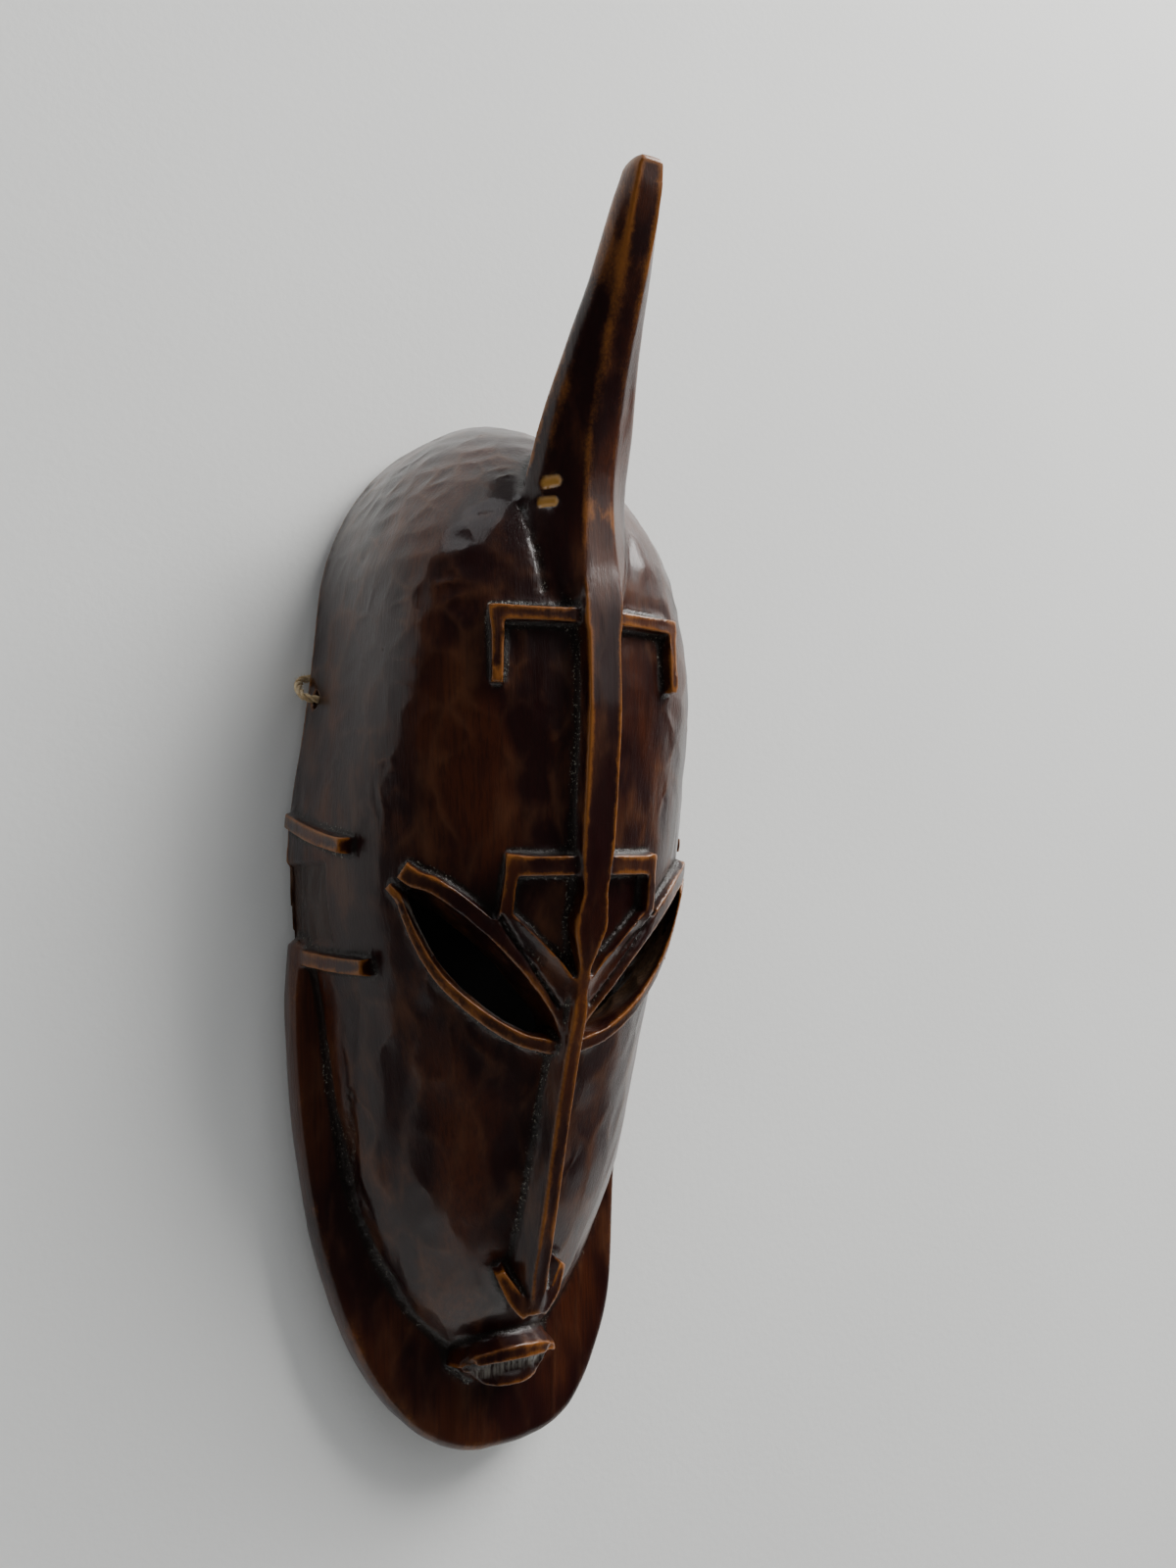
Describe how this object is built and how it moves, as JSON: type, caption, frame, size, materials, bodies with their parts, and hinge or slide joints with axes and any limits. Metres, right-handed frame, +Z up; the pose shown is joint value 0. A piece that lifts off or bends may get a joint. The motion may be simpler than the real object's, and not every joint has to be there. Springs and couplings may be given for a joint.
{
  "type": "carved wooden mask",
  "caption": "Hollow wooden wall mask with a forward-curving horn, forehead ridge and relief bars, slit eyes, long nose, ear bars and a flat chin collar, hung from a fibre cord.",
  "frame": {"origin": "middle of the hanging cord, where the wall hook carries it", "axes": "+Z up towards the horn, -Y out of the face, X across the face"},
  "size_m": [0.1143, 0.1103, 0.34],
  "materials": {
    "stained_wood": "dark stained and waxed",
    "natural_fibre": "twisted plant fibre"
  },
  "bodies": {
    "root": {"mask_body": "stained_wood", "hanging_cord": "natural_fibre", "rim_loop_left": "natural_fibre", "rim_loop_right": "natural_fibre", "knot_left": "natural_fibre", "knot_right": "natural_fibre"}
  },
  "joints": []
}
